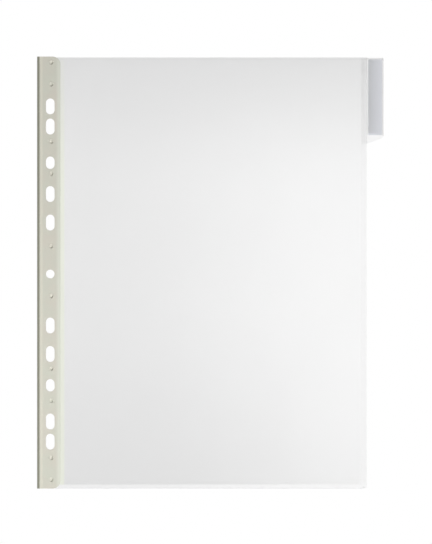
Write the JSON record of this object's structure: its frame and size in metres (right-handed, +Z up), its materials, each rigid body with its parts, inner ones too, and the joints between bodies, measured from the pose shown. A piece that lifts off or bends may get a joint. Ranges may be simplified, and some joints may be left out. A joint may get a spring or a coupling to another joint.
{
  "type": "punched display pocket",
  "caption": "Clear A4 display pocket, open at the top, with a folded filing strip punched for ring binders and a clear index tab holding a loose label.",
  "frame": {"origin": "centre of the middle, round filing hole, halfway through the thickness of the filing strip", "axes": "+Z up along the filing strip, +X from the strip across the pocket to the index tab, +Y from the front of the pocket to its back"},
  "size_m": [0.249, 0.0024, 0.3105],
  "materials": {
    "strip_plastic": "satin",
    "clear_film": "satin",
    "clear_tab_film": "satin",
    "label_card": "matte"
  },
  "bodies": {
    "strip": {"filing_strip": "strip_plastic", "front_film_margin": "clear_film", "back_film_margin": "clear_film", "weld_stud_01": "strip_plastic", "weld_stud_02": "strip_plastic", "weld_stud_03": "strip_plastic", "weld_stud_04": "strip_plastic", "weld_stud_05": "strip_plastic", "weld_stud_06": "strip_plastic", "weld_stud_07": "strip_plastic", "weld_stud_08": "strip_plastic", "weld_stud_09": "strip_plastic", "weld_stud_10": "strip_plastic"},
    "pocket": {"binding_weld": "clear_film", "side_weld": "clear_film", "foot_weld": "clear_film", "front_film": "clear_film", "back_film": "clear_film", "tab_sleeve": "clear_tab_film"},
    "label": {"tab_label": "label_card"}
  },
  "joints": [
    {"name": "pocket_swing", "type": "hinge", "parent": "strip", "child": "pocket", "pos_m": [0.00855, 0, 0], "axis": [0, 0, 1], "range_deg": [-90, 90], "stiffness_Nm_per_rad": 0.02, "deforming": ["binding_weld"]},
    {"name": "label_slide", "type": "slide", "parent": "pocket", "child": "label", "axis": [0, 0, 1], "range_m": [0, 0.0545]}
  ]
}
